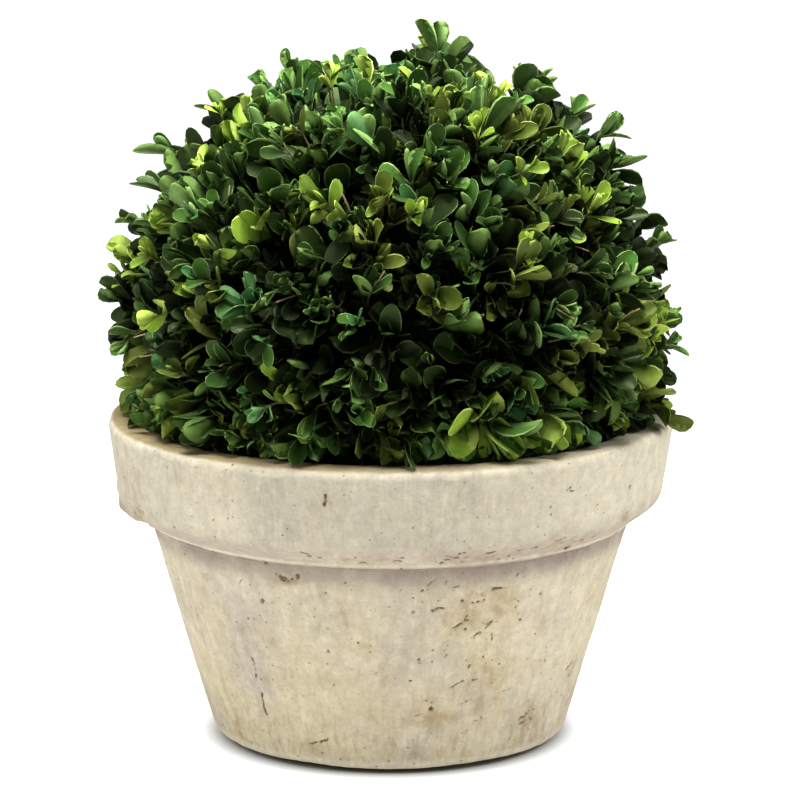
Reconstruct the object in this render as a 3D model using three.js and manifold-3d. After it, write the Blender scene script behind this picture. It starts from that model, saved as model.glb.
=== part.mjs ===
// A clipped box ball growing in a thick, collared clay pot: the pot, its potting mix, a short hidden stem
// and the clipped mass of foliage. Millimetres, +Z up, origin under the pot's axis on the ground.
import * as THREE from "three";
import { mergeVertices } from "three/addons/utils/BufferGeometryUtils.js";
import Module from "manifold-3d";

const wasm = await Module();
wasm.setup();

// Pot
const potHeight = 110;
const rimRadius = 95; // outside, at the lip
const lipWidth = 13;
const baseRadius = 59.6;
const standRadius = 49; // of the flat that the pot stands on
const footLift = 2; // the foot's outer edge is worn up off the ground
const creaseHeight = 75; // where the collar meets the tapered body
const creaseRadius = 81.2;
const creaseLedge = 2.2; // how far the collar steps out just above the crease
const creaseRise = 2.2;
const collarFootHeight = 86.5; // lower end of the collar's near-upright face
const collarFootRadius = 92;
const collarFootRound = 6.4;
const floorThickness = 10;
const innerFloorRadius = 51.5;
const drainRadius = 10;
const edgeRound = 2.5; // worn edges of the lip
const footRound = 1.4;
const potSegments = 80;

// Potting mix
const mixBelowLip = 20;

// Stem
const stemHeight = 48;
const stemFootRadius = 8.5;
const stemWaistRadius = 5.6; // above the root flare
const stemTipRadius = 4.2;
const flareHeight = 12;
const flareDepth = 0.16; // share of the radius that the root buttresses stand proud
const buttresses = 5;
const stemLean = 2; // sideways shift of the tip
const stemStations = 9;
const stemSegments = 20;

// Foliage
const ballRadius = 90.5;
const ballHeight = 138.5; // of its centre above the ground
const ballShift = 2; // of its centre to the right of the pot's axis
const clumpCount = 110;
const clumpProud = 6.5; // how far the leaf clumps swell from the ball
const clumpReach = 0.25; // radians from a clump's middle to its foot
const sprigReach = 0.17;
const tuckDepth = 6; // how far the ball draws in where it meets the pot
const tuckFrom = -0.06; // sine of the elevation where the tuck starts
const tuckTo = -0.34; // and where it is full
const ballSegments = 76;
const ballRings = 44;

// Sprigs the shears missed: azimuth round the ball from the right, elevation, and how far each stands proud.
const proudSprigs = [
  { azimuth: 57, elevation: 76, proud: 11 },
  { azimuth: 21, elevation: 60, proud: 8 },
  { azimuth: 14, elevation: 49, proud: 9 },
  { azimuth: 11, elevation: 41, proud: 5 },
  { azimuth: 154, elevation: 65, proud: 8 },
  { azimuth: 165, elevation: 51, proud: 5 },
  { azimuth: 171, elevation: 38, proud: 8 },
  { azimuth: 175, elevation: 22, proud: 7 },
  { azimuth: 177, elevation: 13, proud: 4 },
  { azimuth: 180, elevation: 5, proud: 6 },
  { azimuth: 0, elevation: 2, proud: 1.5 },
  { azimuth: -2, elevation: -9, proud: 3.5 },
  { azimuth: -4, elevation: -15, proud: 6 },
  { azimuth: 90, elevation: 30, proud: 5 },
  { azimuth: 62, elevation: 4, proud: 4 },
  { azimuth: 122, elevation: -6, proud: 4 },
  { azimuth: -90, elevation: 12, proud: 4 },
  { azimuth: -52, elevation: 34, proud: 3 },
];

const gap = 0.35; // between pieces that bear on each other
const wideGap = 0.6; // where the foliage is cut back round the stem
const lipClearance = 1.2; // between the lip and the crown's underside
const goldenAngle = Math.PI * (3 - Math.sqrt(5));
const lipInnerRadius = rimRadius - lipWidth;
const mixTop = potHeight - mixBelowLip;

// A curve through an arc in the profile plane, from one angle to another in degrees.
function arc(centreRadius, centreHeight, radius, from, to, steps = 4) {
  return Array.from({ length: steps + 1 }, (_, i) => {
    const angle = THREE.MathUtils.degToRad(from + ((to - from) * i) / steps);
    return [
      centreRadius + radius * Math.cos(angle),
      centreHeight + radius * Math.sin(angle),
    ];
  });
}

// The pot's inner wall is one straight taper from the lip to the floor.
function innerRadiusAt(height) {
  const share = (height - floorThickness) / (potHeight - floorThickness);
  return THREE.MathUtils.lerp(innerFloorRadius, lipInnerRadius, share);
}

// A profile of [radius, height] pairs turned about the Z axis.
function turned(profile, segments) {
  const points = profile.map(([radius, height]) => new THREE.Vector2(radius, height));
  return new THREE.LatheGeometry(points, segments).rotateX(Math.PI / 2);
}

function solidOf(geometry) {
  const bare = geometry.clone();
  bare.deleteAttribute("normal");
  bare.deleteAttribute("uv");
  const merged = mergeVertices(bare, 1e-3);
  return new wasm.Manifold(
    new wasm.Mesh({
      numProp: 3,
      vertProperties: merged.attributes.position.array,
      triVerts: new Uint32Array(merged.index.array),
    }),
  );
}

function geometryOf(solid) {
  const mesh = solid.getMesh();
  return new THREE.BufferGeometry()
    .setAttribute("position", new THREE.BufferAttribute(mesh.vertProperties, 3))
    .setIndex(new THREE.BufferAttribute(mesh.triVerts, 1));
}

// Thick cast pot: tapered body, rounded shoulder, near-upright collar, flat lip and a drain hole.
function potGeometry() {
  const profile = [
    [drainRadius, 0],
    [standRadius, 0],
    ...arc(baseRadius - footRound, footLift + footRound, footRound, -76, -16, 3),
    [creaseRadius, creaseHeight],
    [creaseRadius + creaseLedge, creaseHeight + creaseRise],
    ...arc(collarFootRadius - collarFootRound, collarFootHeight, collarFootRound, -52, 0, 4),
    ...arc(rimRadius - edgeRound, potHeight - edgeRound, edgeRound, 0, 90, 4),
    ...arc(lipInnerRadius + edgeRound, potHeight - edgeRound, edgeRound, 90, 162, 3),
    [innerRadiusAt(floorThickness + edgeRound), floorThickness + edgeRound],
    [innerFloorRadius - edgeRound, floorThickness],
    [drainRadius, floorThickness],
    [drainRadius, 0],
  ];
  return turned(profile, potSegments);
}

// The potting mix fills the pot to below the lip and stands a gap clear of the wall.
function mixGeometry() {
  const foot = floorThickness + gap;
  const profile = [
    [0, foot],
    [innerFloorRadius - edgeRound - gap, foot],
    [innerRadiusAt(floorThickness + edgeRound) - gap, foot + edgeRound],
    [innerRadiusAt(mixTop) - gap, mixTop],
    [0, mixTop],
  ];
  return turned(profile, potSegments);
}

// A tapering stem with a buttressed flare at its foot; "extra" fattens it all round.
function stemGeometry(extra = 0) {
  const foot = mixTop + gap - extra;
  const top = mixTop + stemHeight + extra;
  const profile = [[0, foot]];
  for (let i = 0; i <= stemStations; i += 1) {
    const share = i / stemStations;
    const height = THREE.MathUtils.lerp(foot, top, share);
    const flare = Math.exp((-share * stemHeight) / flareHeight);
    const shaft = THREE.MathUtils.lerp(stemWaistRadius, stemTipRadius, share);
    profile.push([shaft + (stemFootRadius - stemWaistRadius) * flare + extra, height]);
  }
  profile.push([0, top]);
  const geometry = turned(profile, stemSegments);
  const place = geometry.attributes.position;
  for (let i = 0; i < place.count; i += 1) {
    const share = (place.getZ(i) - foot) / (top - foot);
    const flare = Math.exp((-share * stemHeight) / flareHeight);
    const angle = Math.atan2(place.getY(i), place.getX(i));
    const swell = 1 + flareDepth * flare * Math.cos(buttresses * angle);
    place.setX(i, place.getX(i) * swell + stemLean * share * share);
    place.setY(i, place.getY(i) * swell);
  }
  return geometry;
}

function directionOf(azimuth, elevation) {
  const a = THREE.MathUtils.degToRad(azimuth);
  const e = THREE.MathUtils.degToRad(elevation);
  return new THREE.Vector3(Math.cos(a) * Math.cos(e), Math.sin(a) * Math.cos(e), Math.sin(e));
}

// Clump middles spread evenly over the sphere on a golden-angle spiral.
function clumpDirections() {
  return Array.from({ length: clumpCount }, (_, i) => {
    const z = 1 - (2 * i + 1) / clumpCount;
    const ring = Math.sqrt(1 - z * z);
    return new THREE.Vector3(ring * Math.cos(i * goldenAngle), ring * Math.sin(i * goldenAngle), z);
  });
}

// A rounded hump, 1 at the middle and 0 from "reach" radians outwards.
function hump(direction, middle, reach) {
  const share = direction.angleTo(middle) / reach;
  return share < 1 ? (1 - share * share) ** 2 : 0;
}

// The clipped ball: a sphere that swells where the leaf clumps and the longer sprigs are.
function ballGeometry() {
  const clumps = clumpDirections();
  const sprigs = proudSprigs.map((s) => ({ middle: directionOf(s.azimuth, s.elevation), proud: s.proud }));
  const geometry = new THREE.SphereGeometry(1, ballSegments, ballRings).rotateX(Math.PI / 2);
  const place = geometry.attributes.position;
  const direction = new THREE.Vector3();
  for (let i = 0; i < place.count; i += 1) {
    direction.fromBufferAttribute(place, i).normalize();
    const uneven = clumps.reduce((most, c, k) => {
      const own = clumpProud * (0.75 + 0.25 * Math.sin(goldenAngle * k * k));
      return Math.max(most, own * hump(direction, c, clumpReach));
    }, 0);
    const sprig = sprigs.reduce((most, s) => {
      return Math.max(most, s.proud * hump(direction, s.middle, sprigReach));
    }, 0);
    const tuck = tuckDepth * THREE.MathUtils.smoothstep(-direction.z, -tuckFrom, -tuckTo);
    direction.multiplyScalar(ballRadius + uneven + sprig - tuck);
    place.setXYZ(i, direction.x + ballShift, direction.y, direction.z + ballHeight);
  }
  return geometry;
}

// The crown ends in a flat underside just above the lip, and is cut round the stem.
function foliageGeometry() {
  const crown = solidOf(ballGeometry()).trimByPlane([0, 0, 1], potHeight + lipClearance);
  return geometryOf(crown.subtract(solidOf(stemGeometry(wideGap))));
}

function piece(name, geometry, color, roughness) {
  const material = new THREE.MeshStandardMaterial({ color, roughness, metalness: 0 });
  const mesh = new THREE.Mesh(geometry, material);
  mesh.name = name;
  return mesh;
}

const boxBall = new THREE.Group();
boxBall.add(piece("pot", potGeometry(), 0xd8cfb8, 0.9));
boxBall.add(piece("potting_mix", mixGeometry(), 0x3a2c20, 1));
boxBall.add(piece("stem", stemGeometry(), 0x6b5a45, 0.85));
boxBall.add(piece("foliage_ball", foliageGeometry(), 0x2f4a1c, 0.55));

export default boxBall;
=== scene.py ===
# A clipped box ball growing in a thick, whitewashed clay pot.
import itertools
import math

import bmesh
import bpy
import numpy as np
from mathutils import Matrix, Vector
from mathutils.bvhtree import BVHTree


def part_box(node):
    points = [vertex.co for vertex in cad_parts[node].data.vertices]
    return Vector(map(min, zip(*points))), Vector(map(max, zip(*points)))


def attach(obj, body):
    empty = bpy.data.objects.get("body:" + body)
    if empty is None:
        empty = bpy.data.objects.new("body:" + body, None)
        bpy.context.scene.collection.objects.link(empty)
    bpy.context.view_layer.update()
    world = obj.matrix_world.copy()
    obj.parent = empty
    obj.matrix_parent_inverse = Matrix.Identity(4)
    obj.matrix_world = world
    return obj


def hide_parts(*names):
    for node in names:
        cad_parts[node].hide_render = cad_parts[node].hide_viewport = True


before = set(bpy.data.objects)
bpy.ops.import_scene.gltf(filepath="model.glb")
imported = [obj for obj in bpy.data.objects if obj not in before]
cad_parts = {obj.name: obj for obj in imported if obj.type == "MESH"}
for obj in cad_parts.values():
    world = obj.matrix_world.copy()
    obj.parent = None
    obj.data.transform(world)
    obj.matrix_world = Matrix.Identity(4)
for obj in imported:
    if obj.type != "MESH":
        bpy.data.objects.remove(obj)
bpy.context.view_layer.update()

mm = 0.001
potLow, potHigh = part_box("pot")

cameraSetup = {
    "distance": 1.5,  # in front of the pot's axis
    "height": 0.422,
    "pitch": 11.6,  # degrees below level
    "lens": 204.3,
    "sensor": 36,
    "sideways": 3.5 * mm,
}


def placeCamera(setup):
    data = bpy.data.cameras.new("studioCamera")
    data.lens = setup["lens"]
    data.sensor_width = setup["sensor"]
    data.clip_end = 20
    camera = bpy.data.objects.new("studioCamera", data)
    camera.location = (setup["sideways"], -setup["distance"], setup["height"])
    camera.rotation_euler = (math.radians(90 - setup["pitch"]), 0, 0)
    bpy.context.scene.collection.objects.link(camera)
    bpy.context.scene.camera = camera


placeCamera(cameraSetup)
print("camera placed")


def linear(hexColour):
    # sRGB to linear: ((c + 0.055) / 1.055) to the power 2.4, and c / 12.92 in the darkest tones
    parts = [int(hexColour[i:i + 2], 16) / 255 for i in (1, 3, 5)]
    return tuple(c / 12.92 if c <= 0.04045 else ((c + 0.055) / 1.055) ** 2.4 for c in parts) + (1.0,)


def addNode(tree, kind, values=None, links=None, **settings):
    # one node with its settings, its socket values and the sockets that feed it
    node = tree.nodes.new(kind)
    for name, value in settings.items():
        setattr(node, name, value)
    for name, value in (values or {}).items():
        node.inputs[name].default_value = value
    for name, source in (links or {}).items():
        tree.links.new(source, node.inputs[name])
    return node


def newMaterial(name):
    material = bpy.data.materials.new(name)
    material.use_nodes = True
    material.node_tree.nodes.clear()
    return material, material.node_tree


def finishMaterial(tree, shader):
    addNode(tree, "ShaderNodeOutputMaterial", links={"Surface": shader.outputs["BSDF"]})


def makePiece(name, points, faces, materials, faceMaterial=None, attributes=None):
    # points (n, 3) and a list of face arrays, each (m, corners)
    mesh = bpy.data.meshes.new(name)
    corners = np.concatenate([f.ravel() for f in faces]).astype(np.int32)
    sizes = np.concatenate([np.full(len(f), f.shape[1]) for f in faces])
    starts = np.concatenate([[0], np.cumsum(sizes)[:-1]]).astype(np.int32)
    mesh.vertices.add(len(points))
    mesh.vertices.foreach_set("co", np.ascontiguousarray(points, np.float32).ravel())
    mesh.loops.add(len(corners))
    mesh.loops.foreach_set("vertex_index", corners)
    mesh.polygons.add(len(sizes))
    mesh.polygons.foreach_set("loop_start", starts)
    for material in materials:
        mesh.materials.append(material)
    if faceMaterial is not None:
        mesh.polygons.foreach_set("material_index", faceMaterial.astype(np.int32))
    mesh.polygons.foreach_set("use_smooth", np.ones(len(sizes), bool))
    mesh.update(calc_edges=True)
    for key, values in (attributes or {}).items():
        layer = mesh.attributes.new(key, "FLOAT", "POINT")
        layer.data.foreach_set("value", np.ascontiguousarray(values, np.float32).ravel())
    piece = bpy.data.objects.new(name, mesh)
    bpy.context.scene.collection.objects.link(piece)
    return piece


def standFor(piece, node):
    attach(piece, "root")
    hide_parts(node)


def hashNoise(cell, seed):
    # a repeatable value in -1..1 for each whole-number cell
    c = cell.astype(np.uint64)
    h = c[..., 0] * np.uint64(73856093) ^ c[..., 1] * np.uint64(19349663) ^ c[..., 2] * np.uint64(83492791)
    h = (h + np.uint64(seed * 2654435761)) & np.uint64(0xFFFFFFFF)
    h = (h ^ (h >> np.uint64(15))) * np.uint64(2246822519) & np.uint64(0xFFFFFFFF)
    h = (h ^ (h >> np.uint64(13))) * np.uint64(3266489917) & np.uint64(0xFFFFFFFF)
    return ((h ^ (h >> np.uint64(16))) & np.uint64(0xFFFF)).astype(float) / 32767.5 - 1


def softNoise(points, size, seed):
    # values at the corners of a lattice of cells of that size, blended by 3s^2 - 2s^3
    p = points / size + 512
    low = np.floor(p)
    s = p - low
    s = s * s * (3 - 2 * s)
    total = np.zeros(points.shape[:-1])
    for corner in itertools.product((0, 1), repeat=3):
        weight = np.prod(np.where(corner, s, 1 - s), axis=-1)
        total += weight * hashNoise(low + corner, seed)
    return total


def unit(v):
    return v / np.maximum(np.linalg.norm(v, axis=-1, keepdims=True), 1e-12)


def smoothStep(value, low, high):
    s = np.clip((value - low) / (high - low), 0, 1)
    return s * s * (3 - 2 * s)


viewWidth = 800  # places in the camera's view are in pixels of a square this wide, x to the right and y down
eye = np.array([cameraSetup["sideways"], -cameraSetup["distance"], cameraSetup["height"]])


def viewRays(x, y):
    # the directions that leave the camera through places in its view
    pitch = math.radians(cameraSetup["pitch"])
    focus = cameraSetup["lens"] / cameraSetup["sensor"] * viewWidth
    right, up = np.array([1.0, 0, 0]), np.array([0, math.sin(pitch), math.cos(pitch)])
    ahead = np.array([0, math.cos(pitch), -math.sin(pitch)])
    rightward, upward = x[:, None] - viewWidth / 2, viewWidth / 2 - y[:, None]
    return unit(ahead * focus + right * rightward + up * upward)


# The pot is a profile turned about Z, then pushed along its normal by the relief.
potShape = {
    "lip": 13 * mm,
    "base": 59.6 * mm,
    "stand": 49 * mm,  # of the flat that it stands on
    "lift": 2 * mm,  # the foot's outer edge is worn up off the ground
    "foot": 1.4 * mm,
    "creaseHeight": 75 * mm,
    "creaseRadius": 81.2 * mm,
    "creaseLedge": 2.2 * mm,
    "creaseRise": 2.2 * mm,
    "collarFootHeight": 86.5 * mm,
    "collarFootRadius": 92 * mm,
    "collarFootRound": 6.4 * mm,
    "floor": 10 * mm,
    "innerFloor": 51.5 * mm,
    "drain": 10 * mm,
    "edge": 2.5 * mm,
    "columns": 560,
    "fine": 1.0 * mm,  # spacing of the rows that show
    "coarse": 8 * mm,
    "markCuts": 2,  # how often each side of a face with a mark on it is cut
    "hand": 0.45 * mm,  # unevenness of the hand-built wall
    "handSize": 34 * mm,
    "trowel": 0.16 * mm,
    "trowelSize": 9 * mm,
    "grain": 0.07 * mm,
    "grainSize": 2.4 * mm,
    "brush": 0.06 * mm,  # streaks that the brush left up the wall
    "brushSize": 2 * mm,
    "wear": 0.6 * mm,  # taken off the edges
    "brokenAt": -169,  # azimuth where the collar's foot is thick and broken
    "brokenReach": 17,  # degrees
    "brokenRidges": [(84.5, 2.6, 0.7), (81.6, 1.3, 2.6), (77.9, 0.9, 1.7)],  # height, spread and depth in mm
    "brownLip": 200,  # azimuth where the top of the lip is brownest
    "nearMark": 0.75 * mm,  # faces this near a mark are cut finer
    "clusters": [  # azimuth and height of the middles of the seeded groups of marks
        (-12, 30), (12, 66), (38, 25), (72, 55), (104, 28),
        (140, 68), (165, 34), (-172, 60), (-67, 44), (-74, 58),
    ],
    "clusterPits": 9,
    "clusterScores": 6,
    "collarCrumbs": 34,  # torn out of the collar's slope
    "raySearch": (-1.6, 0.7),  # where the view's rays look for the wall, in rim radii from the axis
    "rayStep": 0.05 * mm,
    "seed": 11,
}
rimRadius = potHigh.x
potHeight = potHigh.z
lipInner = rimRadius - potShape["lip"]

# Marks in the clay that face the camera, by their places in its view. Widths and depths are in mm.
frontMarks = {
    "scores": [  # x and y of both ends, width and depth
        (493, 589, 505, 587, 0.7, 0.65), (505, 587, 511, 585, 0.5, 0.35), (473, 603, 484, 600, 0.6, 0.55),
        (453, 628, 461, 624, 0.6, 0.6), (461, 624, 470, 620, 0.7, 0.6), (472, 637, 481, 633, 0.8, 0.6),
        (481, 633, 489, 632, 0.5, 0.5), (493, 628, 515, 625, 0.4, 0.2), (516, 608, 519, 602, 0.5, 0.4),
        (519, 602, 515, 599, 0.4, 0.3), (516, 578, 519, 572, 0.5, 0.4), (521, 572, 525, 568, 0.4, 0.3),
        (453, 588, 459, 585, 0.5, 0.5), (427, 587, 435, 578, 0.5, 0.35), (420, 592, 427, 590, 0.6, 0.45),
        (435, 609, 438, 608, 0.5, 0.3), (453, 688, 465, 681, 0.6, 0.5), (467, 703, 471, 700, 0.6, 0.5),
        (470, 723, 488, 719, 0.4, 0.3), (464, 738, 467, 731, 0.4, 0.3), (522, 719, 527, 717, 0.8, 0.6),
        (529, 714, 537, 709, 0.6, 0.5), (523, 725, 528, 721, 0.7, 0.55), (530, 728, 532, 730, 0.5, 0.3),
        (532, 718, 534, 720, 0.5, 0.4), (529, 725, 532, 725, 0.5, 0.4), (466, 662, 470, 659, 0.5, 0.4),
        (467, 668, 472, 664, 0.4, 0.35), (570, 669, 574, 664, 1.1, 0.75), (574, 664, 579, 655, 0.5, 0.25),
        (325, 495, 326, 502, 0.7, 0.9), (326, 501, 325, 504, 1.0, 0.9), (277, 575, 282, 578, 1.0, 0.7),
        (282, 579, 286, 580, 1.3, 0.8), (286, 580, 292, 579, 0.7, 0.6), (251, 658, 254, 668, 0.7, 0.6),
        (254, 668, 255, 678, 0.6, 0.5), (260, 693, 262, 703, 0.7, 0.6), (262, 703, 265, 714, 0.8, 0.65),
        (266, 716, 270, 728, 0.4, 0.2), (308, 745, 318, 743, 0.6, 0.55), (318, 743, 327, 739, 0.7, 0.6),
        (441, 564, 458, 565, 0.4, 0.35), (431, 536, 432, 526, 0.4, 0.25), (283, 486, 287, 492, 0.4, 0.25),
        (569, 490, 570, 488, 1.1, 0.8), (571, 491, 573, 491, 0.6, 0.5), (238, 584, 242, 578, 0.4, 0.3),
        (600, 579, 606, 574, 0.4, 0.2), (484, 676, 490, 672, 0.4, 0.25), (498, 650, 503, 646, 0.4, 0.25),
        (415, 716, 423, 713, 0.5, 0.3), (402, 720, 410, 716, 0.4, 0.2), (487, 548, 495, 545, 0.5, 0.25),
        (556, 541, 566, 538, 0.6, 0.3), (570, 540, 578, 536, 0.5, 0.25), (204, 548, 214, 552, 0.5, 0.2),
    ],
    "pits": [  # x, y, width and depth
        (441, 564, 1.1, 0.9), (423, 496, 0.7, 0.5), (450, 485, 0.5, 0.4), (465, 483, 0.6, 0.4),
        (631, 487, 1.0, 0.6), (451, 555, 0.6, 0.3), (478, 556, 0.5, 0.4), (493, 556, 0.5, 0.4),
        (508, 556, 0.6, 0.5), (521, 554, 0.6, 0.5), (478, 517, 0.7, 0.5), (481, 531, 0.5, 0.3),
        (509, 528, 0.5, 0.3), (592, 532, 0.5, 0.3), (561, 541, 0.6, 0.35), (581, 588, 0.6, 0.4),
        (564, 588, 0.5, 0.3), (423, 602, 0.7, 0.5), (432, 709, 1.3, 1.1), (423, 714, 0.7, 0.5),
        (545, 731, 0.7, 0.6), (528, 660, 0.6, 0.3), (493, 680, 0.6, 0.3), (411, 681, 0.6, 0.5),
        (405, 654, 0.6, 0.4), (416, 645, 0.6, 0.4), (213, 520, 0.7, 0.5), (136, 508, 0.9, 0.6),
        (143, 512, 0.9, 0.4), (184, 555, 0.7, 0.5), (219, 553, 0.6, 0.5), (265, 563, 1.2, 0.9),
        (297, 577, 1.3, 1.0), (304, 572, 0.6, 0.3), (261, 601, 1.4, 0.8), (250, 586, 0.6, 0.4),
        (241, 580, 0.6, 0.3), (326, 593, 0.7, 0.5), (294, 610, 0.6, 0.35), (255, 543, 0.6, 0.3),
        (284, 548, 0.6, 0.3), (220, 699, 0.7, 0.5), (249, 743, 0.7, 0.5), (328, 651, 1.1, 0.75),
        (288, 639, 0.6, 0.3), (287, 689, 0.6, 0.3), (313, 694, 0.5, 0.3), (366, 727, 0.6, 0.4),
        (396, 746, 0.6, 0.4), (378, 640, 0.5, 0.3), (374, 683, 0.5, 0.3), (595, 568, 0.5, 0.3),
        (570, 640, 0.5, 0.3),
    ],
}
# Where bare clay shows through in brown, by azimuth, height, reach along and up the wall in mm, and strength.
# The thin ones at 78 to 84 mm lie on the collar's downward-facing lower slope and are partly painted shade.
stainsAndSlopeShade = [
    (-68, 60, 17, 9, 0.8), (-64, 30, 18, 13, 0.6), (-42, 14, 7, 4, 0.9), (-24, 29, 4, 5, 0.8),
    (-47, 81, 13, 2.4, 0.9), (-115, 69, 5, 2, 1.0), (-146, 12, 9, 9, 0.7), (-102, 99, 3, 4, 0.5),
    (-30, 84, 9, 2.5, 0.8), (-114, 8, 7, 3, 0.5), (-154, 84, 4, 3, 0.9), (-168, 81, 9, 3, 0.8),
    (-78, 20, 10, 4, 0.5), (-70, 78.5, 13, 2.4, 0.85), (-94, 79, 13, 2.2, 0.75), (-122, 80, 7, 2, 0.5),
    (20, 62, 14, 8, 0.7), (75, 28, 18, 10, 0.7), (120, 80, 14, 3, 0.8), (150, 40, 12, 12, 0.6),
    (-10, 18, 10, 9, 0.6),
]


def arcPoints(r, z, radius, start, end, steps=10):
    a = np.radians(np.linspace(start, end, steps + 1))
    return np.stack([r + radius * np.cos(a), z + radius * np.sin(a)], 1)


def resample(outline, spacing):
    # points at even steps along a polyline
    along = np.concatenate([[0], np.cumsum(np.linalg.norm(np.diff(outline, axis=0), axis=1))])
    at = np.linspace(0, along[-1], max(2, round(along[-1] / spacing) + 1))
    return np.stack([np.interp(at, along, outline[:, k]) for k in (0, 1)], 1)


def innerRadiusAt(height, shape):
    share = (height - shape["floor"]) / (potHeight - shape["floor"])
    return shape["innerFloor"] + (lipInner - shape["innerFloor"]) * share


def collarFootArc(s):
    rounding = s["collarFootRound"]
    return arcPoints(s["collarFootRadius"] - rounding, s["collarFootHeight"], rounding, -52, 0)


def bodyOutlines(s):
    outside = np.concatenate([
        [[s["stand"], 0]],
        arcPoints(s["base"] - s["foot"], s["lift"] + s["foot"], s["foot"], -76, -16),
        [[s["creaseRadius"], s["creaseHeight"]]],
        arcPoints(s["creaseRadius"] - 1.2 * mm, s["creaseHeight"] + 0.2 * mm, 1.2 * mm, 0, 90, 4),
    ])
    joint = s["creaseHeight"] + 1.4 * mm
    inside = np.array([
        [innerRadiusAt(joint, s), joint],
        [innerRadiusAt(s["floor"] + s["edge"], s), s["floor"] + s["edge"]],
        [s["innerFloor"] - s["edge"], s["floor"]],
        [s["drain"] + 1 * mm, s["floor"]],
        [s["drain"], s["floor"] - 1 * mm],
        [s["drain"], 1 * mm],
        [s["drain"] + 1 * mm, 0],
        [s["stand"] - s["fine"], 0],
    ])
    return outside, inside


def collarOutlines(s):
    outside = np.concatenate([
        [[s["creaseRadius"] - 0.5 * mm, s["creaseHeight"] - 0.1 * mm]],
        arcPoints(s["creaseRadius"] + 0.2 * mm, s["creaseHeight"] + 1.2 * mm, 1.2 * mm, -60, -20, 4),
        [[s["creaseRadius"] + s["creaseLedge"], s["creaseHeight"] + s["creaseRise"]]],
        collarFootArc(s),
        arcPoints(rimRadius - s["edge"], potHeight - s["edge"], s["edge"], 0, 90),
        arcPoints(lipInner + s["edge"], potHeight - s["edge"], s["edge"], 90, 162),
        [[innerRadiusAt(potHeight - 22 * mm, s), potHeight - 22 * mm]],
    ])
    joint = s["creaseHeight"] - 0.1 * mm
    inside = np.array([
        [innerRadiusAt(potHeight - 27 * mm, s), potHeight - 27 * mm],
        [innerRadiusAt(joint, s), joint],
        [s["creaseRadius"] - 1.5 * mm, joint],
    ])
    return outside, inside


def wallPlaces(x, y, s):
    # where the rays through places in the view first meet the wall: azimuth in radians, height and radius
    outline = np.concatenate([
        [[s["base"], 0], [s["creaseRadius"], s["creaseHeight"]]],
        [[s["creaseRadius"] + s["creaseLedge"], s["creaseHeight"] + s["creaseRise"]]],
        collarFootArc(s),
        [[rimRadius, potHeight - s["edge"]]],
    ])
    nearest, farthest = (share * rimRadius for share in s["raySearch"])
    along = cameraSetup["distance"] + np.arange(nearest, farthest, s["rayStep"])
    points = eye + viewRays(x, y)[:, None] * along[:, None]
    radius, height = np.hypot(points[..., 0], points[..., 1]), points[..., 2]
    wall = np.interp(height, outline[:, 1], outline[:, 0])
    inside = (height > 0) & (height < potHeight) & (radius < wall)
    first = points[np.arange(len(x)), inside.argmax(1)]
    return np.arctan2(first[:, 1], first[:, 0]), first[:, 2], np.hypot(first[:, 0], first[:, 1])


def placedMarks(s):
    # the front's scores and pits: azimuth and height of the middle, length, slope in degrees, width, depth
    x0, y0, x1, y1, width, depth = np.array(frontMarks["scores"], float).T
    startTurn, startHeight, startRadius = wallPlaces(x0, y0, s)
    endTurn, endHeight, endRadius = wallPlaces(x1, y1, s)
    run, rise = (endTurn - startTurn) * (startRadius + endRadius) / 2, endHeight - startHeight
    turn, height = np.degrees(startTurn + endTurn) / 2, (startHeight + endHeight) / 2 / mm
    length, slope = np.hypot(run, rise) / mm, np.degrees(np.arctan2(rise, run))
    scores = np.stack([turn, height, length, slope, width, depth], 1)
    x, y, width, depth = np.array(frontMarks["pits"], float).T
    turn, height, _ = wallPlaces(x, y, s)
    pits = np.stack([np.degrees(turn), height / mm, 0 * turn, 0 * turn, width, depth], 1)
    return np.concatenate([scores, pits]).tolist()


def wallMarks(s):
    # the front's scores and pits, and seeded ones in clusters all round
    rng = np.random.default_rng(s["seed"])
    marks = placedMarks(s)
    for azimuth, height in s["clusters"]:
        for _ in range(s["clusterPits"]):
            a, z = azimuth + rng.normal(0, 11), np.clip(height + rng.normal(0, 14), 4, 106)
            marks.append((a, z, 0, 0, rng.uniform(0.5, 1.0), rng.uniform(0.3, 0.8)))
        for _ in range(s["clusterScores"]):
            a, z = azimuth + rng.normal(0, 8), np.clip(height + rng.normal(0, 8), 6, 70)
            length, slope = rng.uniform(1, 6), rng.choice([12, 18, 24, 60, 95]) + rng.normal(0, 5)
            marks.append((a, z, length, slope, rng.uniform(0.4, 0.7), rng.uniform(0.25, 0.55)))
    for _ in range(s["collarCrumbs"]):
        a, z, length = rng.uniform(-108, -40), 79.6 + rng.normal(0, 1.3), rng.uniform(0, 2.2)
        marks.append((a, z, length, rng.normal(4, 8), rng.uniform(0.5, 0.9), rng.uniform(0.3, 0.7)))
    return marks


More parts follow.
